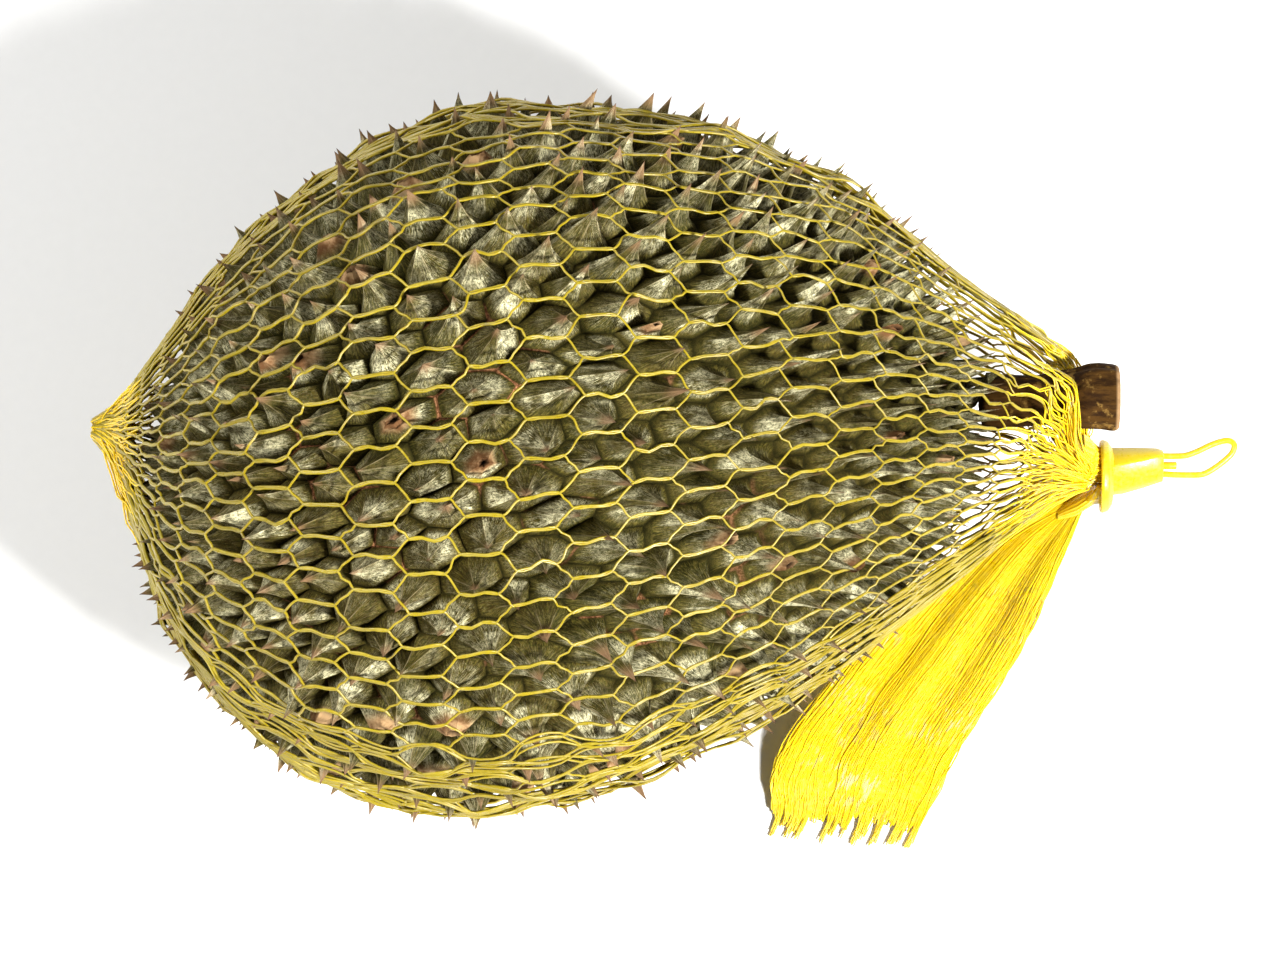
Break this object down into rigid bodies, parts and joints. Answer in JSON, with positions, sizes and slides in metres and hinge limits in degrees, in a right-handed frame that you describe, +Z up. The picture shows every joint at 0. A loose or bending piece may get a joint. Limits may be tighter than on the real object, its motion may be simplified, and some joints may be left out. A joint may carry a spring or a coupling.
{
  "type": "durian in a net bag",
  "caption": "Whole durian lying on its side in a hexagonal plastic net bag, closed at the stalk by a plastic clip with a hanging loop.",
  "frame": {"origin": "on the table, under the middle of the fruit, net and clip together", "axes": "+X along the fruit toward its stalk and clip, +Z up"},
  "size_m": [0.326, 0.2164, 0.2007],
  "materials": {
    "husk": "matte, fibrous",
    "stem": "rough, woody",
    "net": "satin extruded plastic",
    "clip": "moulded, satin gloss"
  },
  "bodies": {
    "root": {"husk": "husk", "stem": "stem", "net_bag": "net", "net_tail": "net", "clip": "clip"}
  },
  "joints": []
}
